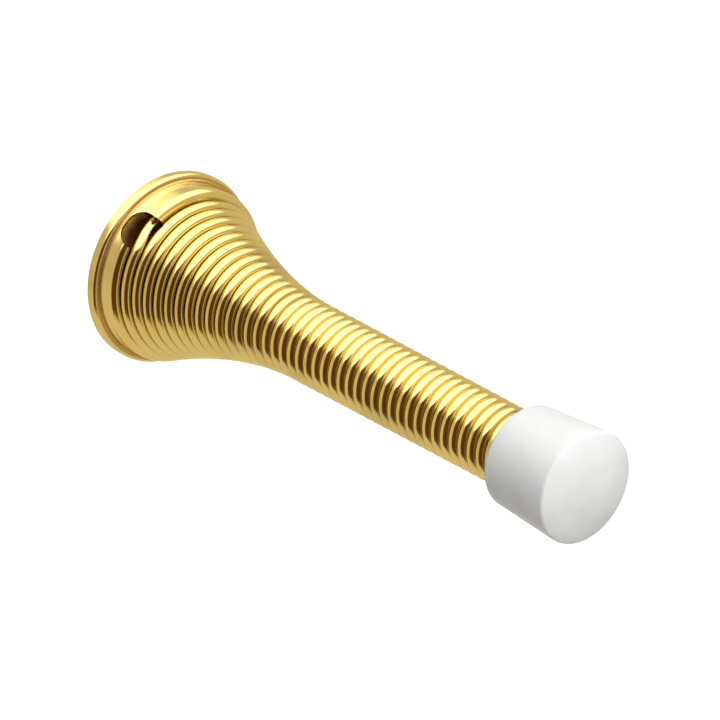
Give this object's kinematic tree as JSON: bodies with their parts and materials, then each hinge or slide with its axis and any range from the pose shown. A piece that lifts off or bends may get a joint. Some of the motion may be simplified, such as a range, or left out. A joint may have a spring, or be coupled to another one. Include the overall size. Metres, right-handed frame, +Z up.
{
  "type": "spring door stop",
  "caption": "Wall-mounted door stop: a close-wound trumpet spring on a round brass base, with a white rubber tip that meets the door.",
  "frame": {"origin": "on the wall, at the middle of the base's back face", "axes": "+X along the spring's axis away from the wall, +Z up"},
  "size_m": [0.0788, 0.0254, 0.0254],
  "materials": {
    "base_brass": "polished",
    "spring_brass": "polished",
    "white_rubber": "satin"
  },
  "bodies": {
    "base": {"mounting_base": "base_brass"},
    "arm": {"coil_spring": "spring_brass", "rubber_tip": "white_rubber"}
  },
  "joints": [
    {"name": "spring_flex", "type": "hinge", "parent": "base", "child": "arm", "pos_m": [0.025, 0, 0], "axis": [0, 0, 1], "range_deg": [-30, 30], "stiffness_Nm_per_rad": 0.05, "deforming": ["coil_spring"]}
  ]
}
